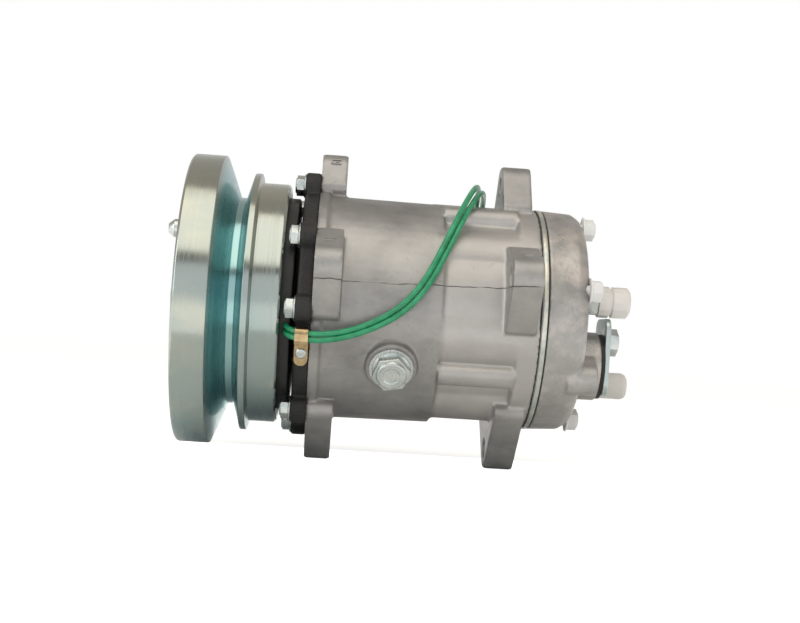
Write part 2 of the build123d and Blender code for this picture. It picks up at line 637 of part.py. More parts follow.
with BuildPart() as head:
    turn((HEAD_X, 0), (HEAD_X, HEAD_R), (HEAD_END - 5, HEAD_R - 0.8), (HEAD_END - 1.5, 55.5),
         (HEAD_END, 53.5), (HEAD_END, 0))
    rods_along(HEAD_X + 6, PORT_END, [PORT_YZ], PORT_R)
    with BuildSketch(ACROSS.offset(HEAD_END - 8)) as boss_root:
        with Locations(PORT_YZ):
            Circle(12)
        with Locations(head_bolt_places[2]):
            Circle(8)
        make_hull()
    extrude(boss_root.sketch, amount=15.8)
    rods_along(HEAD_END, HEAD_END + 9, [head_bolt_places[2]], 7, mode=Mode.SUBTRACT)
    rods_along(HEAD_END - 4, HEAD_END + 3.2, [FITTING_YZ], 9.5)
    rods_along(HEAD_END - 4, HEAD_END + 14, [CAP_YZ], 6.4)
    turn((HEAD_X - 1, 0), (HEAD_X - 1, 34), (HEAD_END - 5, 32), (HEAD_END - 5, 0),
         mode=Mode.SUBTRACT)
    turn((HEAD_X - 1, 38), (HEAD_X - 1, 47.5), (HEAD_END - 6, 46), (HEAD_END - 6, 39.5),
         mode=Mode.SUBTRACT)
    rods_along(HEAD_X + 10, PORT_END + 1, [PORT_YZ], 7.5, mode=Mode.SUBTRACT)
    rods_along(HEAD_END - 8, HEAD_END + 5, [FITTING_YZ], 3.1, mode=Mode.SUBTRACT)
    rods_along(HEAD_END - 8, HEAD_END + 15, [CAP_YZ], 2.6, mode=Mode.SUBTRACT)
    rods_along(HEAD_X - 1, HEAD_END + 1, head_bolt_places, M6_HOLE + 0.1, mode=Mode.SUBTRACT)
save(head, "cylinder_head")

with BuildPart() as head_bolts:
    rods_along(DECK_X - 15, HEAD_END + 1, head_bolt_places, M6)
    rods_along(HEAD_END, HEAD_END + 1.6, head_bolt_places, 6.6)
    hexes_along(HEAD_END + 1.6, HEAD_END + 6.8, head_bolt_places, 10)
    rods_along(COVER_X + 0.2, COVER_X + COVER_T + 0.2, [PLATE_BOLT], 3.5)
    rods_along(COVER_X + COVER_T, COVER_X + COVER_T + 1.2, [PLATE_BOLT], 7.6)
    hexes_along(COVER_X + COVER_T + 1.2, COVER_X + COVER_T + 6.2, [PLATE_BOLT], 12.6, turned=30)
save(head_bolts, "head_and_cover_bolts")

with BuildPart() as port_cover:
    with BuildSketch(ACROSS.offset(COVER_X)) as cover:
        with Locations(COVER_YZ):
            RectangleRounded(28, 40, 6)
        with Locations(PLATE_BOLT):
            Circle(3.6, mode=Mode.SUBTRACT)
    extrude(cover.sketch, amount=COVER_T)
    rods_along(PORT_END - 1.3, COVER_X, [PORT_YZ], 7.3)
save(port_cover, "port_cover_plate")

with BuildPart() as fitting:
    rods_along(HEAD_END - 3.8, HEAD_END + 3.4, [FITTING_YZ], 3)
    hexes_along(HEAD_END + 3.2, HEAD_END + 9, [FITTING_YZ], 14)
    rods_along(HEAD_END + 9, HEAD_END + 15, [FITTING_YZ], 5)
    rods_along(HEAD_END, 160, [FITTING_YZ], 2.0, mode=Mode.SUBTRACT)
save(fitting, "service_fitting")

with BuildPart() as caps:
    rods_along(HEAD_END + 9.1, CAP_END - 1.1, [FITTING_YZ], 8)
    rods_along(CAP_END - 1.1, CAP_END, [FITTING_YZ], 7.1)
    rods_along(HEAD_END + 9, HEAD_END + 15.4, [FITTING_YZ], 5.15, mode=Mode.SUBTRACT)
    rods_along(154, WHITE_CAP_END - 1.2, [CAP_YZ], 7.15)
    rods_along(WHITE_CAP_END - 1.2, WHITE_CAP_END, [CAP_YZ], 6.3)
    rods_along(HEAD_END + 14, 165, [CAP_YZ], 5.6, mode=Mode.SUBTRACT)
save(caps, "service_caps")

# ================= coil leads =================
CLIP_A = -21.0
clip_plane = Plane(origin=(-4.0, *around(60.0, CLIP_A)), x_dir=(1, 0, 0),
                   z_dir=(0, *around(1, CLIP_A)))
with BuildPart() as clip:
    with BuildSketch(clip_plane) as base:
        with Locations((0, -2.5)):
            RectangleRounded(7, 19, 2)
    extrude(base.sketch, amount=1.2)
save(clip, "lead_clip")

LEAD_ROUTE = [
    (-12.6, -54.1, -15.0), (-11.2, -62.5, -16.8), (-3.0, -66.5, -18.6), (12.0, -66.5, -17.8),
    (30.0, -65.5, -11.5), (46.0, -65.0, -1.5), (57.0, -61.3, 12.5), (66.0, -56.0, 32.0),
    (74.0, -42.5, 49.5), (81.0, -24.5, 61.5), (86.0, -5.0, 66.5), (89.0, 15.0, 65.0),
    (90.0, 34.0, 55.0), (89.5, 51.0, 38.5), (88.0, 59.5, 18.0), (86.0, 61.2, -2.0),
    (83.0, 59.0, -19.0), (80.0, 62.0, -34.0),
]
LEAD_GAPS = [(0.0, -0.8, 3.3)] + [(0.0, 0.0, 3.3)] * 3 + [(-3.1, 0.0, 3.1)] * 14


def lead(route, name):
    """A wire of straight runs and tangent arcs, each arc as large as its runs allow."""
    points = [Vector(*p) for p in route]
    runs = [(b - a).length for a, b in zip(points, points[1:])]
    turns = [(b - a).get_angle(c - b) for a, b, c in zip(points, points[1:], points[2:])]
    radii = [
        0.45 * min(r0, r1) / tan(radians(t / 2)) for r0, r1, t in zip(runs, runs[1:], turns)
    ]
    with BuildPart() as wire:
        with BuildLine() as path:
            FilletPolyline(*points, radius=radii)
        with BuildSketch(Plane(origin=points[0], z_dir=points[1] - points[0])):
            Circle(WIRE_R)
        sweep(path=path.line)
    save(wire, name)
    long = sum(edge.length for edge in path.edges())
    filled = wire.part.volume / (pi * WIRE_R**2 * long)
    print(f"{name}: {long:.1f} mm, arc radii {min(radii):.1f} to {max(radii):.1f} mm, "
          f"volume over section times length {filled:.4f}")


route_b = [
    tuple(p + g for p, g in zip(point, gap)) for point, gap in zip(LEAD_ROUTE, LEAD_GAPS)
]
route_b[-1] = (route_b[-1][0], route_b[-1][1], LEAD_ROUTE[-1][2])
lead(LEAD_ROUTE, "lead_wire_a")
lead(route_b, "lead_wire_b")

END = LEAD_ROUTE[-1]
with BuildPart() as connector:
    with BuildSketch(Plane.XY.offset(END[2] - 24)) as shell:
        with Locations((END[0] - 1.55, END[1])):
            RectangleRounded(13, 9, 1.5)
    extrude(shell.sketch, amount=24)
    with BuildSketch(Plane.XY.offset(END[2] - 24)) as mouth:
        with Locations((END[0] - 1.55, END[1])):
            RectangleRounded(10.4, 6.4, 1)
    extrude(mouth.sketch, amount=11, mode=Mode.SUBTRACT)
    with BuildSketch(Plane.XY.offset(END[2] - 22)) as blades:
        with Locations((END[0], END[1]), (END[0] - 3.1, END[1])):
            Rectangle(0.8, 3.2)
    extrude(blades.sketch, amount=9)
save(connector, "lead_connector")
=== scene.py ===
"""Belt-driven refrigerant compressor: finishes, turned and cast pieces, leads and stage."""

from math import cos, pi, radians, sin

import bmesh
import bpy
from mathutils import Matrix, Vector


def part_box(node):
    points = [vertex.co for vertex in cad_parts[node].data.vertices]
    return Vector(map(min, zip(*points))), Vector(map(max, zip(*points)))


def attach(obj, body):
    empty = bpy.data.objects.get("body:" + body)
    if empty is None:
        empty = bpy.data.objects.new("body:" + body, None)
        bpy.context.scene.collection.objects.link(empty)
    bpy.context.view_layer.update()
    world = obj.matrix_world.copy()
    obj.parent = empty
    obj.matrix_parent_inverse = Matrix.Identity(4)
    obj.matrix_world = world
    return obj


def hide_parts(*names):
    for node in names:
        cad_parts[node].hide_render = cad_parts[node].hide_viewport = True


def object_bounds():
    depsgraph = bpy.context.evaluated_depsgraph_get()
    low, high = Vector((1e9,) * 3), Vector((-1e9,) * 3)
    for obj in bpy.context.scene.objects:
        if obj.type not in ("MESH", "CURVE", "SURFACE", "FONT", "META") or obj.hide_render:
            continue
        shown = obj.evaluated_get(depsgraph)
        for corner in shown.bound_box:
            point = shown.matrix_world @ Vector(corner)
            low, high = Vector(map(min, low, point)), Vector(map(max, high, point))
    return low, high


bl_info = {
    "name": "Refrigerant Compressor",
    "version": (1, 0, 0),
    "blender": (4, 5, 0),
    "location": "View3D > Sidebar > Compressor",
    "description": "Builds the finished look of a clutch-driven vehicle compressor",
    "category": "Object",
}

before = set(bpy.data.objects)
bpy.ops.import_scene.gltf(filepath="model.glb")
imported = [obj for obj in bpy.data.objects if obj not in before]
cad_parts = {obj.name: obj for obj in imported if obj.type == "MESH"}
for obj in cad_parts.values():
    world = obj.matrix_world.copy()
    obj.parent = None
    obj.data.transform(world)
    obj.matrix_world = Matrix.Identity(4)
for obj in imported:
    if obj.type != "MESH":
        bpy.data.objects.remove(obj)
CAD_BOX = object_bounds()
MM = 0.001
ROOT = "root"


# ---------------------------------------------------------------- places
def around(radius, a):
    """(Y, Z) at a radius and a height angle a, counted from -Y towards +Z."""
    return Vector((-radius * cos(radians(a)), radius * sin(radians(a))))


def end_of(node, side):
    """The lowest (side 0) or highest (side 1) X of a node."""
    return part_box(node)[side][0]


HEAD_BACK = 0.1378
HOUSING_BOLT_ANGLES = (82.0, 31.0, -3.0, -58.0, -98.0, -149.0, 177.0, 122.0)
HEAD_BOLT_ANGLES = tuple(68.3 - i * 360 / 7 for i in range(7))
PLUG_ANGLE = -29.0
PLUG_X = 0.041
CLIP_ANGLE = -21.0


# ---------------------------------------------------------------- mesh helpers
def add_object(mesh, name):
    made = bpy.data.objects.new(name, mesh)
    bpy.context.scene.collection.objects.link(made)
    return made


def crisp(made, angle=32.0):
    """Smooth shading with sharp edges past an angle."""
    for polygon in made.data.polygons:
        polygon.use_smooth = True
    made.data.set_sharp_from_angle(angle=radians(angle))
    return made


def paint(made, material):
    made.data.materials.clear()
    made.data.materials.append(material)
    return made


def softened(outline, amount, steps=4):
    """A closed outline with each corner replaced by a short curve."""
    points = [Vector(p) for p in outline]
    result = []
    for before, corner, after in zip(points[-1:] + points[:-1], points, points[1:] + points[:1]):
        if corner.y <= 1e-6:
            result.append(corner)
            continue
        reach = min(amount, 0.45 * (before - corner).length, 0.45 * (after - corner).length)
        start = corner + (before - corner).normalized() * reach
        end = corner + (after - corner).normalized() * reach
        for k in range(steps + 1):
            t = k / steps
            result.append(start * (1 - t) ** 2 + corner * 2 * t * (1 - t) + end * t ** 2)
    return result


def lathe(name, outline, soft=0.4, segments=160, axis=None, centre=(0, 0, 0)):
    """Turn a closed outline of (distance along the axis, radius) in millimetres."""
    axis = Vector(axis or (1, 0, 0)).normalized()
    side = axis.orthogonal().normalized()
    other = axis.cross(side)
    rings = softened(outline, soft) if soft else [Vector(p) for p in outline]
    mesh = bmesh.new()
    loops = []
    for x, r in rings:
        base = Vector(centre) + axis * x * MM
        if r < 1e-6:
            loops.append([mesh.verts.new(base)])
            continue
        loops.append([
            mesh.verts.new(base + (side * cos(t) + other * sin(t)) * r * MM)
            for t in (2 * pi * k / segments for k in range(segments))
        ])
    for one, two in zip(loops, loops[1:] + loops[:1]):
        for k in range(segments):
            n = (k + 1) % segments
            corners = [one[k % len(one)], two[k % len(two)], two[n % len(two)], one[n % len(one)]]
            corners = list(dict.fromkeys(corners))
            if len(corners) > 2:
                mesh.faces.new(corners)
    bmesh.ops.recalc_face_normals(mesh, faces=mesh.faces)
    data = bpy.data.meshes.new(name)
    mesh.to_mesh(data)
    mesh.free()
    return crisp(add_object(data, name))


def prism(name, outline, height, place, bevel=0.3, segments=3):
    """A bevelled bar: an outline in millimetres, pushed along the local Z of a matrix."""
    mesh = bmesh.new()
    bottom = [mesh.verts.new((x * MM, y * MM, 0)) for x, y in outline]
    face = mesh.faces.new(bottom)
    pushed = bmesh.ops.extrude_face_region(mesh, geom=[face])
    moved = [v for v in pushed["geom"] if isinstance(v, bmesh.types.BMVert)]
    bmesh.ops.translate(mesh, verts=moved, vec=(0, 0, height * MM))
    bmesh.ops.recalc_face_normals(mesh, faces=mesh.faces)
    if bevel:
        bmesh.ops.bevel(mesh, geom=mesh.edges[:], offset=bevel * MM, segments=segments,
                        affect="EDGES", profile=0.5, clamp_overlap=True)
    bmesh.ops.transform(mesh, matrix=place, verts=mesh.verts)
    data = bpy.data.meshes.new(name)
    mesh.to_mesh(data)
    mesh.free()
    return crisp(add_object(data, name))


def polygon(count, across, turned=0.0):
    """A regular polygon by its width across flats."""
    radius = across / 2 / cos(pi / count)
    return [(radius * cos(t), radius * sin(t))
            for t in (radians(turned) + 2 * pi * k / count for k in range(count))]


def rounded_box(width, depth, corner, steps=5):
    """A rectangle outline with round corners."""
    points = []
    for cx, cy, first in ((1, 1, 0), (-1, 1, 90), (-1, -1, 180), (1, -1, 270)):
        for k in range(steps + 1):
            t = radians(first + 90 * k / steps)
            points.append((cx * (width / 2 - corner) + corner * cos(t),
                           cy * (depth / 2 - corner) + corner * sin(t)))
    return points


def stand(point, up, ahead=(1, 0, 0)):
    """A matrix whose Z points along up and whose X points nearly along ahead."""
    z = Vector(up).normalized()
    x = (Vector(ahead) - z * Vector(ahead).dot(z)).normalized()
    turn = Matrix((x, z.cross(x), z)).transposed().to_4x4()
    return Matrix.Translation(Vector(point)) @ turn


def along_x(x, yz, turned=0.0):
    """A matrix standing at (X, Y, Z) in metres with its Z along +X."""
    return stand((x, yz[0], yz[1]), (1, 0, 0), (0, 0, 1)) @ Matrix.Rotation(turned, 4, "Z")


def join(name, pieces):
    """One object out of several, in the order given."""
    mesh = bmesh.new()
    materials = []
    for piece in pieces:
        start = len(mesh.faces)
        mesh.from_mesh(piece.data)
        mesh.faces.ensure_lookup_table()
        for material in piece.data.materials:
            if material not in materials:
                materials.append(material)
        index = materials.index(piece.data.materials[0]) if piece.data.materials else 0
        for face in mesh.faces[start:]:
            face.material_index = index
        data = piece.data
        bpy.data.objects.remove(piece)
        bpy.data.meshes.remove(data)
    data = bpy.data.meshes.new(name)
    mesh.to_mesh(data)
    mesh.free()
    for material in materials:
        data.materials.append(material)
    return crisp(add_object(data, name))


def cad_copy(node, name):
    """A merged copy of a CAD node's mesh."""
    mesh = bmesh.new()
    mesh.from_mesh(bpy.data.objects[node].data)
    bmesh.ops.remove_doubles(mesh, verts=mesh.verts, dist=1e-6)
    data = bpy.data.meshes.new(name)
    mesh.to_mesh(data)
    mesh.free()
    return add_object(data, name)


def applied(made, name):
    """The evaluated object as a plain mesh of its own, with no modifiers."""
    graph = bpy.context.evaluated_depsgraph_get()
    data = bpy.data.meshes.new_from_object(made.evaluated_get(graph))
    data.name = name
    made.modifiers.clear()
    old = made.data
    made.data = data
    bpy.data.meshes.remove(old)
    made.name = name
    return made


def cast(made, voxel, name, smooth=6):
    """Give sharp-edged solids the soft edges and corners of a sand or die casting."""
    remesh = made.modifiers.new("skin", "REMESH")
    remesh.mode = "VOXEL"
    remesh.voxel_size = voxel * MM
    relax = made.modifiers.new("relax", "SMOOTH")
    relax.factor = 0.5
    relax.iterations = smooth
    applied(made, name)
    for polygon_ in made.data.polygons:
        polygon_.use_smooth = True
    return made


# ---------------------------------------------------------------- material helpers
class Tree:
    """A short way to add and join shader nodes."""

    def __init__(self, name):
        self.material = bpy.data.materials.new(name)
        self.material.use_nodes = True
        self.nodes = self.material.node_tree.nodes
        self.links = self.material.node_tree.links
        self.shader = self.nodes["Principled BSDF"]

    def add(self, kind, settings=None, **values):
        node = self.nodes.new(f"ShaderNode{kind}")
        for key, value in (settings or {}).items():
            setattr(node, key, value)
        for key, value in values.items():
            self.feed(node, key.replace("_", " "), value)
        return node

    def feed(self, node, socket, value):
        target = node.inputs[int(socket) if socket.isdigit() else socket]
        if isinstance(value, bpy.types.NodeSocket):
            self.links.new(value, target)
        else:
            target.default_value = value

    def math(self, operation, a, b=0.0, c=0.0):
        node = self.nodes.new("ShaderNodeMath")
        node.operation = operation
        for index, value in enumerate((a, b, c)):
            self.feed(node, str(index), value)
        return node.outputs[0]

    def blend(self, amount, a, b, mode="MIX"):
        node = self.nodes.new("ShaderNodeMix")
        node.data_type = "RGBA"
        node.blend_type = mode
        self.feed(node, "0", amount)
        self.feed(node, "6", a)
        self.feed(node, "7", b)
        return node.outputs[2]

    def noise(self, scale, detail=4.0, rough=0.55, where=None, stretch=None):
        place = where or self.place(stretch)
        node = self.add("TexNoise", Vector=place, Scale=scale, Detail=detail, Roughness=rough)
        return node.outputs["Fac"]

    def place(self, stretch=None):
        spot = self.add("TexCoord").outputs["Object"]
        if stretch:
            spot = self.add("Mapping", Vector=spot, Scale=stretch).outputs[0]
        return spot

    def ramp(self, value, low, high, out_low=0.0, out_high=1.0):
        node = self.add("MapRange", Value=value)
        for key, number in (("1", low), ("2", high), ("3", out_low), ("4", out_high)):
            self.feed(node, key, number)
        return node.outputs[0]

    def bump(self, height, strength, distance, below=None):
        node = self.add("Bump", Height=height, Strength=strength, Distance=distance)
        if below:
            self.links.new(below, node.inputs["Normal"])
        return node.outputs[0]

    def finish(self, **values):
        for key, value in values.items():
            self.feed(self.shader, key.replace("_", " "), value)
        return self.material


def colour(*rgb):
    return (*rgb, 1.0)


def tint(light, *rgb):
    return colour(*(light * value for value in rgb))


def cast_aluminium(name, light=1.0, scale=1.0, parting_and_lit_barrels=False, wrinkled=0.0):
    """Grey die-cast skin: flow marks, grain, small dents, and a mould's parting line."""
    t = Tree(name)
    cloud = t.noise(26 * scale, 5, 0.6)
    flow = t.noise(70 * scale, 6, 0.65, stretch=(0.5, 1, 1))
    grain = t.noise(1500, 2, 0.5)
    speck = t.ramp(t.noise(300, 3, 0.7), 0.62, 0.75)
    base = t.blend(t.ramp(cloud, 0.35, 0.68), tint(light, 0.285, 0.278, 0.276),
                   tint(light, 0.44, 0.43, 0.42))
    base = t.blend(t.ramp(flow, 0.45, 0.75, 0, 0.45), base, tint(light, 0.58, 0.56, 0.545))
    base = t.blend(t.math("MULTIPLY", speck, 0.3), base, tint(light, 0.17, 0.16, 0.16))
    skin = t.bump(grain, 0.3, 0.0002)
    skin = t.bump(flow, 0.2, 0.0008, skin)
    skin = t.bump(speck, 0.35, 0.0003, skin)
    if wrinkled:
        fold = t.noise(48, 5, 0.7)
        crease = t.ramp(t.math("ABSOLUTE", t.math("SUBTRACT", fold, 0.5)), 0.0, 0.035, 1.0, 0.0)
        patch = t.ramp(t.noise(20, 2, 0.5), 0.42, 0.62)
        crease = t.math("MULTIPLY", t.math("MULTIPLY", crease, patch), wrinkled)
        pale = t.ramp(t.noise(60, 4, 0.6), 0.48, 0.62, 0, 0.55)
        base = t.blend(pale, base, tint(light, 0.60, 0.54, 0.51))
        base = t.blend(t.math("MULTIPLY", crease, 0.16), base, tint(light, 0.2, 0.19, 0.19))
        skin = t.bump(crease, 0.3, 0.0004, skin)
    if parting_and_lit_barrels:
        x, y, z = t.add("SeparateXYZ", Vector=t.place()).outputs
        reach = t.math("SQRT", t.math("ADD", t.math("MULTIPLY", y, y), t.math("MULTIPLY", z, z)))
        # Painted highlight: the barrels inside radius 60 mm past X 65 mm get a lighter tone that
        # stands in for light; the parting line below is real.
        painted_light_barrels = t.math("MULTIPLY", t.ramp(x, 0.064, 0.067, 0, 0.4),
                         t.ramp(reach, 0.0585, 0.0615, 1, 0))
        wave = t.math("MULTIPLY", t.math("SUBTRACT", t.noise(45, 3, 0.6), 0.5), 0.004)
        level = t.math("ADD", t.math("MULTIPLY_ADD", x, 0.0305, 0.0107), wave)
        away = t.math("ABSOLUTE", t.math("SUBTRACT", z, level))
        seam = t.ramp(away, 0.00012, 0.00042, 1.0, 0.0)
        seam = t.math("MULTIPLY", seam, t.ramp(t.noise(75, 2, 0.5), 0.38, 0.5, 0.25, 0.9))
        base = t.blend(painted_light_barrels, base, tint(light, 0.68, 0.65, 0.63))
        base = t.blend(seam, base, tint(light, 0.10, 0.095, 0.095))
        skin = t.bump(seam, 0.6, 0.0004, skin)
    rough = t.ramp(t.math("ADD", t.math("MULTIPLY", flow, 0.6), t.math("MULTIPLY", grain, 0.4)),
                   0.3, 0.7, 0.36, 0.52)
    return t.finish(Base_Color=base, Metallic=0.78, Roughness=rough, Normal=skin)


def turned_zinc(name, shade, deep, groove=None):
    """Bright zinc over lathe marks, with the passivate's drifting yellow and blue tints."""
    t = Tree(name)
    x, _, z = t.add("SeparateXYZ", Vector=t.place()).outputs
    lines = t.noise(900, 3, 0.6, stretch=(1.0, 0.012, 0.012))
    drift = t.noise(9, 3, 0.55)
    patch = t.noise(34, 4, 0.6, stretch=(0.6, 1, 1))
    base = t.blend(t.ramp(drift, 0.38, 0.62), shade, deep)
    base = t.blend(t.ramp(patch, 0.5, 0.72, 0, 0.45), base, colour(0.66, 0.63, 0.50))
    # Painted highlight: the upper side is made lighter and warmer by height, standing in for the
    # warm light from above.
    high = t.ramp(z, -0.06, 0.07)
    base = t.blend(t.math("MULTIPLY", high, 0.35), base, colour(0.60, 0.56, 0.43))
    if groove:
        inside = t.math("MULTIPLY", t.ramp(x, -0.0505, -0.0475), t.ramp(x, -0.0338, -0.0345))
        base = t.blend(inside, base, groove)
    rough = t.ramp(lines, 0.3, 0.7, 0.17, 0.30)
    skin = t.bump(lines, 0.10, 0.00012)
    turn = t.add("Tangent", {"direction_type": "RADIAL", "axis": "X"}).outputs[0]
    return t.finish(Base_Color=base, Metallic=1.0, Roughness=rough, Normal=skin,
                    Anisotropic=0.75, Anisotropic_Rotation=0.25, Tangent=turn)


def bright_zinc(name, shade=(0.66, 0.69, 0.68), rough=0.24):
    """Barrel-plated zinc on small steel pieces."""
    t = Tree(name)
    patch = t.noise(160, 4, 0.6)
    fine = t.noise(1500, 3, 0.6)
    base = t.blend(t.ramp(patch, 0.4, 0.65), colour(*shade), colour(0.50, 0.55, 0.55))
    rough_map = t.ramp(fine, 0.3, 0.7, rough - 0.06, rough + 0.12)
    return t.finish(Base_Color=base, Metallic=1.0, Roughness=rough_map,
                    Normal=t.bump(fine, 0.12, 0.0002))


def ground_steel(name):
    t = Tree(name)
    fine = t.noise(700, 3, 0.6, stretch=(1, 0.1, 0.1))
    base = t.blend(fine, colour(0.42, 0.42, 0.43), colour(0.60, 0.60, 0.61))
    return t.finish(Base_Color=base, Metallic=1.0, Roughness=t.ramp(fine, 0.3, 0.7, 0.2, 0.38),
                    Normal=t.bump(fine, 0.1, 0.0002))


def black_casting(name):
    """Black paint over a blasted casting, with metal showing on proud specks."""
    t = Tree(name)
    pits = t.noise(620, 4, 0.7)
    broad = t.noise(45, 4, 0.6)
    base = t.blend(t.ramp(broad, 0.35, 0.7), colour(0.010, 0.010, 0.010),
                   colour(0.022, 0.021, 0.020))
    base = t.blend(t.ramp(pits, 0.66, 0.74, 0, 0.5), base, colour(0.11, 0.10, 0.09))
    skin = t.bump(pits, 0.7, 0.0005)
    return t.finish(Base_Color=base, Roughness=t.ramp(pits, 0.3, 0.7, 0.42, 0.62),
                    Normal=t.bump(broad, 0.2, 0.001, skin), Specular_IOR_Level=0.45)


def smooth_black(name, rough=0.5):
    t = Tree(name)
    fine = t.noise(900, 3, 0.6)
    base = t.blend(fine, colour(0.012, 0.012, 0.012), colour(0.03, 0.03, 0.03))
    return t.finish(Base_Color=base, Roughness=t.ramp(fine, 0.3, 0.7, rough - 0.08, rough + 0.1),
                    Normal=t.bump(fine, 0.15, 0.0002))


def green_sleeve(name):
    """Soft green PVC insulation with a faint waxy bloom."""
    t = Tree(name)
    bloom = t.noise(180, 4, 0.6)
    fine = t.noise(2200, 2, 0.5)
    base = t.blend(t.ramp(bloom, 0.38, 0.7), colour(0.006, 0.23, 0.095),
                   colour(0.03, 0.36, 0.17))
    return t.finish(Base_Color=base, Roughness=t.ramp(fine, 0.3, 0.7, 0.24, 0.36),
                    Normal=t.bump(fine, 0.1, 0.0001), Coat_Weight=0.25, Coat_Roughness=0.2)


def yellow_zinc(name):
    t = Tree(name)
    patch = t.noise(260, 4, 0.6)
    base = t.blend(t.ramp(patch, 0.35, 0.65), colour(0.44, 0.31, 0.16),
                   colour(0.64, 0.49, 0.29))
    return t.finish(Base_Color=base, Metallic=1.0, Roughness=t.ramp(patch, 0.3, 0.7, 0.16, 0.3))


def cloudy_cap(name, tone, through, rough):
    """Moulded polythene that lets some light in."""
    t = Tree(name)
    cloud = t.noise(120, 4, 0.6)
    base = t.blend(cloud, colour(*tone), tint(0.92, *tone))
    return t.finish(Base_Color=base, Roughness=t.ramp(cloud, 0.3, 0.7, rough, rough + 0.12),
                    Transmission_Weight=through, IOR=1.45)


def copper_coil(name):
    t = Tree(name)
    turns = t.add("TexWave", {"bands_direction": "X"}, Vector=t.place(), Scale=340.0)
    base = t.blend(turns.outputs["Fac"], colour(0.30, 0.10, 0.04), colour(0.62, 0.28, 0.12))
    return t.finish(Base_Color=base, Metallic=0.9, Roughness=0.4,
                    Normal=t.bump(turns.outputs["Fac"], 0.6, 0.0004))


class Finishes:
    """Each finish, made once when it is first asked for."""

    makers = {
        "block": lambda: cast_aluminium("block_casting", parting_and_lit_barrels=True),
        "head": lambda: cast_aluminium("head_casting", 1.12, 1.3, wrinkled=1.0),
        "machined": lambda: cast_aluminium("machined_aluminium", scale=3.0),
        "pulley": lambda: turned_zinc("pulley_zinc", colour(0.44, 0.475, 0.455),
                                      colour(0.34, 0.43, 0.44), colour(0.36, 0.56, 0.57)),
        "friction": lambda: turned_zinc("friction_face", colour(0.50, 0.52, 0.50),
                                        colour(0.42, 0.46, 0.46)),
        "zinc": lambda: bright_zinc("bright_zinc"),
        "plate": lambda: bright_zinc("cover_zinc", (0.50, 0.60, 0.60), 0.3),
        "cream": lambda: bright_zinc("valve_plate_edge", (0.74, 0.72, 0.62), 0.32),
        "steel": lambda: ground_steel("ground_steel"),
        "black": lambda: black_casting("black_casting"),
        "coil": lambda: smooth_black("coil_black", 0.45),
        "rubber": lambda: smooth_black("gasket_black", 0.6),
        "moulded": lambda: smooth_black("connector_black", 0.38),
        "green": lambda: green_sleeve("green_sleeve"),
        "gold": lambda: yellow_zinc("yellow_zinc"),
        "clear_cap": lambda: cloudy_cap("clear_cap", (0.97, 0.94, 0.91), 0.2, 0.15),
        "white_cap": lambda: cloudy_cap("white_cap", (0.82, 0.79, 0.76), 0.1, 0.4),
        "copper": lambda: copper_coil("copper_coil"),
    }
    made = {}

    @classmethod
    def get(cls, key):
        if key not in cls.made:
            cls.made[key] = cls.makers[key]()
        return cls.made[key]


NODE_FINISHES = {
    "steel": ["drive_shaft", "cam_rotor", "snap_rings", "pulley_bearing_outer_race",
              "pulley_bearing_inner_race", "pulley_bearing_balls", "armature_leaf_springs",
              "front_thrust_rollers", "shaft_needle_bearing", "wobble_gear", "fixed_gear",
              "wobble_thrust_rollers", "centre_ball", "gear_preload_spring", "valve_reeds"]
             + [f"{n}_{i + 1}" for n in ("rod_ball", "connecting_rod") for i in range(7)],
    "machined": ["wobble_plate"] + [f"piston_{i + 1}" for i in range(7)],
    "friction": ["armature_plate"],
    "zinc": ["clutch_hub", "shaft_nut_and_key", "service_fitting"],
    "rubber": ["gaskets", "shaft_seal"],
    "copper": ["coil_winding"],
}


# ---------------------------------------------------------------- pieces
def eased(node, name, finish, body, width=0.25, angle=35.0):
    """The CAD shape with its sharp edges broken, in place of its node."""
    made = cad_copy(node, name)
    mesh = bmesh.new()
    mesh.from_mesh(made.data)
    bmesh.ops.dissolve_limit(mesh, angle_limit=radians(0.5), verts=mesh.verts, edges=mesh.edges)
    mesh.to_mesh(made.data)
    mesh.free()
    edge = made.modifiers.new("broken_edges", "BEVEL")
    edge.width = width * MM
    edge.segments = 2
    edge.limit_method = "ANGLE"
    edge.angle_limit = radians(angle)
    edge.use_clamp_overlap = True
    crisp(applied(made, name))
    return placed(made, finish, body, node)


def placed(made, finish, body, *nodes):
    """Finish a piece, put it on its body and let it stand for its nodes."""
    if finish:
        paint(made, Finishes.get(finish))
    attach(made, body)
    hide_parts(*nodes)
    return made


def thinned(made, most=190000):
    """Fewer triangles where a surface is flat."""
    count = sum(len(polygon_.vertices) - 2 for polygon_ in made.data.polygons)
    if count > most:
        fewer = made.modifiers.new("fewer", "DECIMATE")
        fewer.ratio = most / count
        applied(made, made.name)
    return made


def cut(made, cutter):
    """Take one solid from another and drop the cutter."""
    taken = made.modifiers.new("cut", "BOOLEAN")
    taken.operation = "DIFFERENCE"
    taken.solver = "EXACT"
    taken.object = cutter
    applied(made, made.name)
    data = cutter.data
    bpy.data.objects.remove(cutter)
    bpy.data.meshes.remove(data)
    return made


def bar(name, size, at, turned=0.0, bevel=0.2):
    """A block with broken edges, centred at a place in millimetres and turned about X."""
    width, depth, height = size
    place = (Matrix.Translation(Vector(at) * MM) @ Matrix.Rotation(radians(turned), 4, "X")
             @ Matrix.Translation((0, 0, -height / 2 * MM)))
    outline = [(-width / 2, -depth / 2), (width / 2, -depth / 2),
               (width / 2, depth / 2), (-width / 2, depth / 2)]
    return prism(name, outline, height, place, bevel)


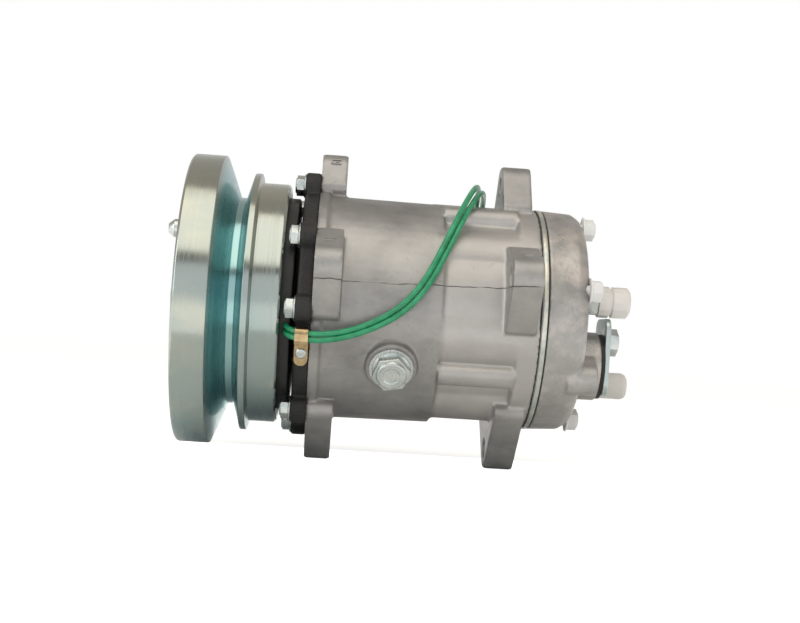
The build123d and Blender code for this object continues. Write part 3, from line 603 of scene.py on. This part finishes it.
def casting_marks():
    """Small raised frames that a mould leaves on the ears: (X, Y, Z), slope about X."""
    marks = []
    for centre, slope in (((6.7, -67.0, 31.0), 29.1), ((103.8, -67.2, 29.5), 17.8),
                          ((7.2, -8.9, 76.4), 56.2)):
        turn = Matrix.Rotation(radians(slope), 3, "X")
        for size, shift in (((5.2, 0.6, 1.0), (0, 1.3, 0)), ((5.2, 0.6, 1.0), (0, -1.3, 0)),
                            ((0.6, 3.2, 1.0), (-2.4, 0, 0)), ((1.8, 0.5, 0.9), (0.6, 0, 0))):
            at = Vector(centre) + turn @ Vector(shift)
            marks.append(paint(bar("mark", size, at, slope, 0.15), Finishes.get("block")))
    return marks


def build_block(settings):
    """Cast cylinder block with its four pairs of ears, casting marks and oil plug boss."""
    block = cad_copy("cylinder_block", "block_casting")
    cast(block, settings.casting_detail / MM, "block_casting", 2)
    block = thinned(block)
    paint(block, Finishes.get("block"))
    block = join("block_casting", [block, *casting_marks()])
    placed(block, "block", ROOT, "cylinder_block")


def build_head(settings):
    """Cast cylinder head with its port boss."""
    head = cad_copy("cylinder_head", "head_casting")
    cast(head, 0.9 * settings.casting_detail / MM, "head_casting", 3)
    placed(thinned(head), "head", ROOT, "cylinder_head")


def build_front_housing(settings):
    """Black front housing with its bolt lobes and nose."""
    housing = cad_copy("front_housing", "front_casting")
    cast(housing, 0.9 * settings.casting_detail / MM, "front_casting", 2)
    placed(thinned(housing), "black", ROOT, "front_housing")


def arc_outline(radius, width, start, sweep, steps=28):
    """A slot that follows an arc, with round ends, in the plane across the shaft."""
    points = []
    ends = 6
    for edge, order in ((radius + width / 2, 1), (radius - width / 2, -1)):
        angles = [start + sweep * k / steps for k in range(steps + 1)][::order]
        points += [(edge * sin(radians(a)), edge * cos(radians(a))) for a in angles]
        tip = radians(angles[-1])
        middle = Vector((radius * sin(tip), radius * cos(tip)))
        out = Vector((sin(tip), cos(tip)))
        ahead = Vector((cos(tip), -sin(tip))) * order
        for k in range(1, ends):
            t = pi * k / ends
            points.append(tuple(middle + (out * cos(t) * order + ahead * sin(t)) * width / 2))
    return points


def build_pulley(settings):
    """Turned and pressed pulley with its V groove and flux slots."""
    outline = [(-66.9, 67), (-66.9, 74.8), (-65.7, 76), (-50.1, 76), (-47, 68.5), (-41.7, 54.6),
               (-38.1, 54.6), (-34.2, 67.9), (-31, 67.9), (-30, 63.1), (-16.7, 63.1),
               (-15.4, 61.8), (-15.4, 59.5), (-33, 59), (-36, 51.2), (-49, 51), (-49, 31.6),
               (-26.2, 31.6), (-26.2, 27.5), (-46.2, 27.5), (-46.2, 24.5), (-56, 24.5),
               (-56, 66)]
    pulley = lathe("pulley_turned", outline, settings.turned_edge / MM, 288)
    slots = [prism("slot", arc_outline(radius, 3.2, 90 * k + shift, 56), 9,
                   along_x(-0.057, (0, 0)), 0)
             for radius, shift in ((40.5, 0), (47.2, 12)) for k in range(4)]
    pulley = cut(pulley, join("slots", slots))
    placed(crisp(pulley), "pulley", "pulley", "pulley")


def flange_bolt(flange_r, flange_t, across, head, shank_r, shank):
    """One hexagon flange bolt at the origin, its head along +Z and its shank along -Z."""
    up = (0, 0, 1)
    skirt = lathe("skirt", [(0, 0), (0, flange_r), (0.35 * flange_t, flange_r),
                            (flange_t, across / 2 * 0.98), (flange_t, 0)], 0.2, 64, up)
    hexagon = prism("hexagon", polygon(6, across), head, Matrix.Translation(
        (0, 0, flange_t * 0.5 * MM)), 0.35)
    dome = lathe("dome", [(flange_t, 0), (flange_t, across * 0.43), (head + flange_t * 0.75,
                          across * 0.43), (head + flange_t, across * 0.36),
                          (head + flange_t, across * 0.22), (head + flange_t - 0.5, 0)],
                 0.25, 64, up)
    body = lathe("shank", [(-shank, 0), (-shank, shank_r - 0.5), (-shank + 0.6, shank_r),
                           (0.2, shank_r), (0.2, 0)], 0, 32, up)
    return join("bolt", [skirt, hexagon, dome, body])


def repeat_tree():
    """Geometry nodes that set one solid on every point, facing along a chosen turn."""
    tree = bpy.data.node_groups.new("set_on_points", "GeometryNodeTree")
    face = tree.interface
    face.new_socket(name="Points", in_out="INPUT", socket_type="NodeSocketGeometry")
    face.new_socket(name="Fastener", in_out="INPUT", socket_type="NodeSocketObject")
    face.new_socket(name="Facing", in_out="INPUT", socket_type="NodeSocketVector")
    face.new_socket(name="Turn Step", in_out="INPUT", socket_type="NodeSocketFloat")
    face.new_socket(name="Finish", in_out="INPUT", socket_type="NodeSocketMaterial")
    face.new_socket(name="Solid", in_out="OUTPUT", socket_type="NodeSocketGeometry")
    nodes, links = tree.nodes, tree.links
    given = nodes.new("NodeGroupInput")
    result = nodes.new("NodeGroupOutput")
    source = nodes.new("GeometryNodeObjectInfo")
    source.transform_space = "ORIGINAL"
    number = nodes.new("GeometryNodeInputIndex")
    step = nodes.new("ShaderNodeMath")
    step.operation = "MULTIPLY"
    spin = nodes.new("ShaderNodeCombineXYZ")
    own_turn = nodes.new("FunctionNodeEulerToRotation")
    facing = nodes.new("FunctionNodeEulerToRotation")
    both = nodes.new("FunctionNodeRotateRotation")
    both.rotation_space = "LOCAL"
    set_on = nodes.new("GeometryNodeInstanceOnPoints")
    real = nodes.new("GeometryNodeRealizeInstances")
    coat = nodes.new("GeometryNodeSetMaterial")
    for start, end in (
        (given.outputs["Points"], set_on.inputs["Points"]),
        (given.outputs["Fastener"], source.inputs["Object"]),
        (source.outputs["Geometry"], set_on.inputs["Instance"]),
        (number.outputs[0], step.inputs[0]),
        (given.outputs["Turn Step"], step.inputs[1]),
        (step.outputs[0], spin.inputs["Z"]),
        (spin.outputs[0], own_turn.inputs[0]),
        (given.outputs["Facing"], facing.inputs[0]),
        (facing.outputs[0], both.inputs["Rotation"]),
        (own_turn.outputs[0], both.inputs["Rotate By"]),
        (both.outputs[0], set_on.inputs["Rotation"]),
        (set_on.outputs[0], real.inputs[0]),
        (real.outputs[0], coat.inputs["Geometry"]),
        (given.outputs["Finish"], coat.inputs["Material"]),
        (coat.outputs[0], result.inputs[0]),
    ):
        links.new(start, end)
    return tree


def set_bolts(name, bolt, places, backwards, finish, turn_step=0.71):
    """Copies of a bolt on each place (millimetres), its head along -X or +X, as one mesh."""
    data = bpy.data.meshes.new(name)
    data.from_pydata([Vector(p) * MM for p in places], [], [])
    made = add_object(data, name)
    tree = bpy.data.node_groups.get("set_on_points") or repeat_tree()
    nodes = made.modifiers.new("repeat", "NODES")
    nodes.node_group = tree
    values = {"Fastener": bolt, "Turn Step": turn_step, "Finish": Finishes.get(finish),
              "Facing": (0.0, radians(-90 if backwards else 90), 0.0)}
    for item in tree.interface.items_tree:
        if item.in_out == "INPUT" and item.name in values:
            nodes[item.identifier] = values[item.name]
    bolt.data.materials.clear()
    crisp(applied(made, name))
    data = bolt.data
    bpy.data.objects.remove(bolt)
    bpy.data.meshes.remove(data)
    return made


def build_fasteners(settings):
    """Hexagon flange bolts of the front housing, the head and the port cover."""
    deep = end_of("housing_bolts", 1) / MM
    places = [(-8.0, *around(63, a)) for a in HOUSING_BOLT_ANGLES]
    bolt = flange_bolt(6.3, 1.4, 9.6, 4.0, 3.0, deep + 8.0)
    placed(set_bolts("housing_bolts_look", bolt, places, True, "zinc"), None, ROOT,
           "housing_bolts")
    deep = HEAD_BACK / MM - end_of("head_and_cover_bolts", 0) / MM
    places = [(137.8, *around(52, a)) for a in HEAD_BOLT_ANGLES]
    bolt = flange_bolt(6.6, 1.6, 10.0, 5.2, 3.0, deep)
    head = set_bolts("head_bolts_look", bolt, places, False, "zinc")
    bolt = flange_bolt(7.6, 1.2, 12.6, 5.0, 3.4, 2.4)
    cover = set_bolts("cover_bolt_look", bolt, [(154.0, -20.0, -9.7)], False, "zinc")
    placed(join("head_bolts_look", [head, cover]), None, ROOT, "head_and_cover_bolts")


def build_oil_plug(settings):
    """Hexagon plug with a round top over a bright sealing washer."""
    y, z = around(1.0, PLUG_ANGLE)
    out = (0, y, z)
    centre = (PLUG_X, 0, 0)
    washer = lathe("washer", [(61.5, 4.0), (61.5, 11), (62.7, 11), (62.7, 4.0)], 0.3, 96, out,
                   centre)
    inner = 50.0
    shank = lathe("shank", [(inner, 0), (inner, 5.2), (inner + 0.8, 6.0), (62.0, 6.0), (62.0, 0)],
                  0, 48, out, centre)
    place = stand((PLUG_X, y * 62.3 * MM, z * 62.3 * MM), out) @ Matrix.Rotation(0.2, 4, "Z")
    hexagon = prism("hexagon", polygon(6, 17.0), 6.0, place, 0.45)
    skirt = lathe("skirt", [(62.6, 0), (62.6, 9.7), (63.4, 9.5), (64.2, 8.2), (64.2, 0)], 0.2, 64,
                  out, centre)
    top = lathe("top", [(67.6, 0), (67.6, 7.9), (68.7, 7.6), (69.4, 7.3), (69.9, 6.6),
                        (69.9, 4.4), (69.4, 3.8), (69.4, 0)], 0.3, 72, out, centre)
    plug = join("oil_plug_look", [washer, shank, hexagon, skirt, top])
    placed(plug, "zinc", ROOT, "oil_plug")


def build_rear_fittings(settings):
    """Port cover plate, service fitting and the two protective caps."""
    eased("port_cover_plate", "cover_plate_look", "plate", ROOT, 0.5)
    eased("service_fitting", "fitting_look", "zinc", ROOT, 0.3)
    spot = Vector((-26, 11)) * MM
    axis = dict(axis=(1, 0, 0), centre=(0, *spot))
    clear = [
        prism("barrel", polygon(12, 15.8), 5.9, along_x(0.1469, spot), 0.4),
        lathe("neck", [(152.4, 5.2), (152.4, 7.1), (154.4, 7.1), (154.4, 5.2)], 0.2, 72, **axis),
        prism("barrel", polygon(12, 15.8), 8.3, along_x(0.154, spot), 0.5),
        lathe("end", [(161.6, 0), (161.6, 7.6), (162.4, 7.5), (163.2, 6.9), (163.5, 6.2),
                      (163.5, 0)], 0.3, 72, **axis),
    ]
    clear = paint(join("clear_cap", clear), Finishes.get("clear_cap"))
    white = lathe("white", [(151.8, 0), (151.8, 6.4), (154.0, 6.4), (154.0, 7.15), (170.6, 7.15),
                            (172.4, 6.4), (173.2, 5.0), (173.2, 0)], 0.9, 128, (1, 0, 0),
                  (0, 0.014, -0.033))
    paint(white, Finishes.get("white_cap"))
    placed(join("service_caps_look", [clear, white]), None, ROOT, "service_caps")


def build_clutch(settings):
    """Armature, hub, studs and shaft nut in front of the pulley."""
    eased("armature_plate", "armature_look", "friction", "armature", 0.3)
    eased("armature_leaf_springs", "leaf_springs_look", "steel", "armature", 0.12)
    eased("clutch_hub", "hub_look", "zinc", "shaft", 0.4)
    eased("hub_studs", "hub_studs_look", "zinc", "shaft", 0.2)
    eased("shaft_nut_and_key", "shaft_nut_look", "zinc", "shaft", 0.3)
    eased("coil_shell", "coil_shell_look", "coil", ROOT, 0.4)


def bent_strip(name, path, thick, width, place):
    """A strip of sheet that follows a path, pushed sideways by its width."""
    points = [Vector(p) for p in path]
    left, right = [], []
    for before, point, after in zip(points[:1] + points[:-1], points, points[1:] + points[-1:]):
        run = (after - before).normalized()
        out = Vector((-run.y, run.x)) * thick / 2
        left.append(tuple(point + out))
        right.append(tuple(point - out))
    return prism(name, left + right[::-1], width, place, 0.12, 2)


def build_clip(settings):
    """Yellow zinc clip that holds the leads to the housing, with its screw."""
    y, z = around(1.0, CLIP_ANGLE)
    out = Vector((0, y, z))
    up = Vector((0, z, -y))
    seat = Vector((-0.004, 0, 0)) + out * 0.060
    plate = prism("plate", rounded_box(17.0, 6.8, 3.3), 1.1,
                  stand(seat - up * 0.0018, out, up), 0.25)
    strap = bent_strip("strap", [(-4, 1.5), (2.0, 1.5), (3.6, 2.2), (4.1, 4.0), (4.1, 8.6),
                                 (4.9, 10.4), (6.6, 11.1), (9.8, 10.0), (11.6, 8.7),
                                 (12.0, 6.6), (11.0, 5.0)], 0.8, 6.6,
                       stand(seat + Vector((-0.0033, 0, 0)), (1, 0, 0), up))
    screw_at = seat - up * 0.0033
    head = lathe("screw", [(0.9, 0), (0.9, 2.9), (1.9, 2.9), (2.6, 2.2), (2.8, 1.2), (2.8, 0)],
                 0.3, 48, out, screw_at)
    lobes = [prism("lobe", rounded_box(2.0, 0.8, 0.35), 0.35,
                   stand(screw_at + out * 0.0027, out, up)
                   @ Matrix.Rotation(radians(90 + 120 * k), 4, "Z")
                   @ Matrix.Translation((0.0009, 0, 0)), 0.1) for k in range(3)]
    screw = paint(join("screw", [head, *lobes]), Finishes.get("zinc"))
    clip = paint(join("clip", [plate, strap]), Finishes.get("gold"))
    placed(join("lead_clip_look", [clip, screw]), None, ROOT, "lead_clip")


LEAD_A = (
    (-12.6, -54.1, -15.0), (-11.2, -62.5, -16.8), (-3, -66.5, -18.6), (12, -66.5, -17.8),
    (30, -65.5, -11.5), (46, -65, -1.5), (57, -61.3, 12.5), (66, -56, 32), (74, -42.5, 49.5),
    (81, -24.5, 61.5), (86, -5, 66.5), (89, 15, 65), (90, 34, 55), (89.5, 51, 38.5),
    (88, 59.5, 18), (86, 61.2, -2), (83, 59, -19), (80, 62, -34),
)
LEAD_B = (
    (-12.6, -54.9, -11.7), (-11.2, -62.5, -13.6), (-3, -66.5, -15.5), (12, -66.5, -14.8),
    (27.9, -65.5, -9.4), (43.9, -65, 0.6), (54.8, -61.3, 14.7), (63.8, -56, 34.2),
    (71.8, -42.5, 51.7), (78.5, -24.5, 64.0), (83.1, -5, 69.4), (85.9, 15, 68.1),
    (86.9, 34, 58.1), (86.4, 51, 41.6), (84.9, 59.5, 21.1), (82.9, 61.2, 1.1),
    (79.9, 59, -15.9), (76.9, 62, -34),
)
LEAD_WIDTH = 0.0029


def lead(name, route, node):
    """One green lead along its route, in millimetres."""
    data = bpy.data.curves.new(name, "CURVE")
    data.dimensions = "3D"
    data.bevel_depth = LEAD_WIDTH / 2
    data.bevel_resolution = 6
    data.use_fill_caps = True
    data.resolution_u = 10
    line = data.splines.new("NURBS")
    line.points.add(len(route) - 1)
    for point, spot in zip(line.points, route):
        point.co = (*(Vector(spot) * MM), 1)
    line.order_u = 3
    line.use_endpoint_u = True
    made = add_object(data, name)
    made.data.materials.append(Finishes.get("green"))
    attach(made, ROOT)
    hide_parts(node)
    return made


def build_leads(settings):
    """The coil's two leads and the connector they end in."""
    at = Vector((78.45, 62, 0)) * MM
    body = prism("body", rounded_box(13, 9, 1.5), 21.0,
                 Matrix.Translation(at + Vector((0, 0, -0.058))), 0.5)
    mouth = prism("mouth", rounded_box(10.4, 6.4, 0.8), 12.0,
                  Matrix.Translation(at + Vector((0, 0, -0.059))), 0)
    body = cut(body, mouth)
    collar = prism("collar", rounded_box(11.4, 7.6, 1.8), 3.4,
                   Matrix.Translation(at + Vector((0, 0, -0.0374))), 0.6)
    latch = bar("latch", (4.6, 1.6, 12.0), (78.45, 67.0, -50.0), 0.0, 0.4)
    ribs = [bar("rib", (0.8, 9.6, 8.0), (78.45 + x, 62, -52.5), 0.0, 0.2) for x in (-6.4, 6.4)]
    ribs = [cut(rib, prism("mouth", rounded_box(10.4, 6.4, 0.8), 12.0,
                           Matrix.Translation(at + Vector((0, 0, -0.059))), 0)) for rib in ribs]
    shell = paint(join("connector_shell", [body, collar, latch, *ribs]),
                  Finishes.get("moulded"))
    blades = [paint(bar("blade", (0.8, 3.0, 9.0), (78.45 + x, 62, -51.0), 0.0, 0.15),
                    Finishes.get("steel")) for x in (-2.2, 2.2)]
    connector = placed(join("connector_look", [shell, *blades]), None, ROOT, "lead_connector")
    one = lead("lead_a", LEAD_A, "lead_wire_a")
    two = lead("lead_b", LEAD_B, "lead_wire_b")


def build_interior(settings):
    """Finishes for every CAD node that shows as it is."""
    for key, nodes in NODE_FINISHES.items():
        for node in nodes:
            paint(bpy.data.objects[node], Finishes.get(key))
    eased("valve_plate", "valve_plate_look", "cream", ROOT, 0.25)


# ---------------------------------------------------------------- stage
CAMERA_PLACE = (0.0103, -0.7127, -0.0169)
CAMERA_YAW, CAMERA_RISE, CAMERA_ROLL = 2.887, 1.343, 3.704
SKY_BANDS = (
    (-180, (0.80, 0.81, 0.82)), (-100, (0.55, 0.57, 0.58)), (-38, (0.30, 0.34, 0.35)),
    (-35, (0.22, 0.23, 0.23)), (-33, (0.92, 0.94, 0.94)), (24, (0.90, 0.93, 0.94)),
    (27, (0.20, 0.20, 0.19)), (34, (0.24, 0.22, 0.20)), (37, (0.78, 0.73, 0.62)),
    (82, (0.80, 0.745, 0.64)), (92, (0.42, 0.39, 0.34)), (140, (0.50, 0.48, 0.45)),
    (180, (0.80, 0.81, 0.82)),
)


def build_stage(settings):
    """Pale floor, banded soft sky, two soft lights and the camera."""
    floor_z = CAD_BOX[0].z - 0.0004
    bpy.ops.mesh.primitive_circle_add(vertices=96, radius=4.0, fill_type="NGON",
                                      location=(0.04, 0, floor_z))
    floor = bpy.context.object
    floor.name = "floor"
    pale = Tree("pale_floor")
    pale.finish(Base_Color=colour(0.7, 0.7, 0.7), Roughness=0.9,
                Emission_Color=colour(1, 1, 1), Emission_Strength=settings.floor_glow)
    paint(floor, pale.material)
    # Hidden from the camera: it keeps the floor's glow off the undersides.
    bpy.ops.mesh.primitive_plane_add(size=1, location=(0.04, -0.06, floor_z + 0.0006))
    card = bpy.context.object
    card.name = "floor_card"
    card.scale = (0.42, 0.25, 1)
    matt = Tree("floor_card")
    matt.finish(Base_Color=colour(0.90, 0.92, 0.92), Roughness=0.9)
    paint(card, matt.material)
    card.visible_camera = False
    card.visible_shadow = False

    world = bpy.data.worlds.new("soft_sky")
    bpy.context.scene.world = world
    world.use_nodes = True
    nodes, links = world.node_tree.nodes, world.node_tree.links
    nodes.clear()
    ray = nodes.new("ShaderNodeTexCoord")
    parts = nodes.new("ShaderNodeSeparateXYZ")
    links.new(ray.outputs["Generated"], parts.inputs[0])
    flip = nodes.new("ShaderNodeMath")
    flip.operation = "MULTIPLY"
    flip.inputs[1].default_value = -1.0
    links.new(parts.outputs["Y"], flip.inputs[0])
    height = nodes.new("ShaderNodeMath")
    height.operation = "ARCTAN2"
    links.new(parts.outputs["Z"], height.inputs[0])
    links.new(flip.outputs[0], height.inputs[1])
    share = nodes.new("ShaderNodeMapRange")
    share.inputs[1].default_value = -pi
    share.inputs[2].default_value = pi
    links.new(height.outputs[0], share.inputs[0])
    bands = nodes.new("ShaderNodeValToRGB")
    ramp = bands.color_ramp
    ramp.elements.remove(ramp.elements[1])
    for index, (angle, tone) in enumerate(SKY_BANDS):
        spot = (angle + 180) / 360
        element = ramp.elements[0] if index == 0 else ramp.elements.new(spot)
        element.position = spot
        element.color = colour(*tone)
    links.new(share.outputs[0], bands.inputs[0])
    soft = nodes.new("ShaderNodeBackground")
    soft.inputs["Strength"].default_value = settings.sky_strength
    links.new(bands.outputs[0], soft.inputs["Color"])
    plain = nodes.new("ShaderNodeBackground")
    plain.inputs["Color"].default_value = (1, 1, 1, 1)
    path = nodes.new("ShaderNodeLightPath")
    both = nodes.new("ShaderNodeMixShader")
    links.new(path.outputs["Is Camera Ray"], both.inputs[0])
    links.new(soft.outputs[0], both.inputs[1])
    links.new(plain.outputs[0], both.inputs[2])
    out = nodes.new("ShaderNodeOutputWorld")
    links.new(both.outputs[0], out.inputs[0])

    for name, place, size, power, tone in (
        ("soft_top", (-0.1, -0.5, 0.9), 1.1, 3.6, (1.0, 0.96, 0.9)),
        ("soft_left", (-0.9, -0.4, 0.3), 0.6, 2.0, (0.92, 0.97, 1.0)),
    ):
        data = bpy.data.lights.new(name, "AREA")
        data.size = size
        data.energy = power
        data.color = tone
        made = bpy.data.objects.new(name, data)
        bpy.context.scene.collection.objects.link(made)
        made.location = place
        made.rotation_euler = (Vector((0.03, 0, 0)) - Vector(place)).to_track_quat(
            "-Z", "Y").to_euler()

    data = bpy.data.cameras.new("camera")
    data.lens = settings.lens
    data.sensor_width = 36
    made = bpy.data.objects.new("camera", data)
    bpy.context.scene.collection.objects.link(made)
    yaw, rise, roll = (radians(v) for v in (CAMERA_YAW, CAMERA_RISE, CAMERA_ROLL))
    ahead = Vector((sin(yaw) * cos(rise), cos(yaw) * cos(rise), sin(rise)))
    right = Vector((cos(yaw), -sin(yaw), 0))
    up = right.cross(ahead)
    right, up = right * cos(roll) + up * sin(roll), up * cos(roll) - right * sin(roll)
    turn = Matrix((right, up, -ahead)).transposed().to_4x4()
    made.matrix_world = Matrix.Translation(CAMERA_PLACE) @ turn
    bpy.context.scene.camera = made
    bpy.context.scene.view_settings.view_transform = "Standard"


# ---------------------------------------------------------------- add-on
class CompressorSettings(bpy.types.PropertyGroup):
    """Sizes and strengths that can be changed before building."""

    casting_detail: bpy.props.FloatProperty(
        name="Casting Detail", description="Grid size of the cast skins", default=0.0009,
        min=0.0008, max=0.004, unit="LENGTH", precision=4)
    turned_edge: bpy.props.FloatProperty(
        name="Turned Edge", description="Reach of the rounded pulley edges", default=0.0005,
        min=0.0, max=0.002, unit="LENGTH", precision=4)
    floor_glow: bpy.props.FloatProperty(
        name="Floor Glow", description="Light the floor gives off itself", default=0.62,
        min=0.0, max=2.0)
    sky_strength: bpy.props.FloatProperty(
        name="Sky Strength", description="Strength of the banded soft light", default=0.95,
        min=0.0, max=4.0)
    lens: bpy.props.FloatProperty(
        name="Lens", description="Camera lens length", default=60.0, min=20.0, max=200.0,
        unit="CAMERA")


def piece_operator(key, label, text, build):
    """An Operator class that runs one build function."""

    def execute(self, context):
        build(context.scene.compressor)
        return {"FINISHED"}

    return type(f"COMPRESSOR_OT_{key}", (bpy.types.Operator,), {
        "__doc__": text, "bl_idname": f"compressor.{key}", "bl_label": label,
        "bl_options": {"REGISTER", "UNDO"}, "execute": execute})


STEPS = tuple(piece_operator(*row) for row in (
    ("interior", "Interior", "Finish the parts inside the case", build_interior),
    ("block", "Cylinder Block", "Cast the cylinder block", build_block),
    ("head", "Cylinder Head", "Cast the cylinder head", build_head),
    ("housing", "Front Housing", "Cast the black front housing", build_front_housing),
    ("pulley", "Pulley", "Turn the pulley", build_pulley),
    ("clutch", "Clutch", "Build the armature, hub and coil shell", build_clutch),
    ("fasteners", "Fasteners", "Set the flange bolts", build_fasteners),
    ("oil_plug", "Oil Plug", "Build the oil plug", build_oil_plug),
    ("rear", "Rear Fittings", "Build the cover plate, fitting and caps", build_rear_fittings),
    ("clip", "Lead Clip", "Build the lead clip", build_clip),
    ("leads", "Leads", "Lay the leads and their connector", build_leads),
    ("stage", "Stage", "Set the floor, light and camera", build_stage),
))


class COMPRESSOR_PT_panel(bpy.types.Panel):
    """Sidebar list of the compressor's pieces."""

    bl_label = "Compressor"
    bl_idname = "COMPRESSOR_PT_panel"
    bl_space_type = "VIEW_3D"
    bl_region_type = "UI"
    bl_category = "Compressor"

    def draw(self, context):
        settings = context.scene.compressor
        for name in ("casting_detail", "turned_edge", "floor_glow", "sky_strength", "lens"):
            self.layout.prop(settings, name)
        for step in STEPS:
            self.layout.operator(step.bl_idname)


CLASSES = (CompressorSettings, *STEPS, COMPRESSOR_PT_panel)


def register():
    for item in CLASSES:
        bpy.utils.register_class(item)
    bpy.types.Scene.compressor = bpy.props.PointerProperty(type=CompressorSettings)


def unregister():
    del bpy.types.Scene.compressor
    for item in reversed(CLASSES):
        bpy.utils.unregister_class(item)


def main():
    register()
    for step in STEPS:
        getattr(bpy.ops.compressor, step.bl_idname.split(".")[1])()


if __name__ == "__main__":
    main()
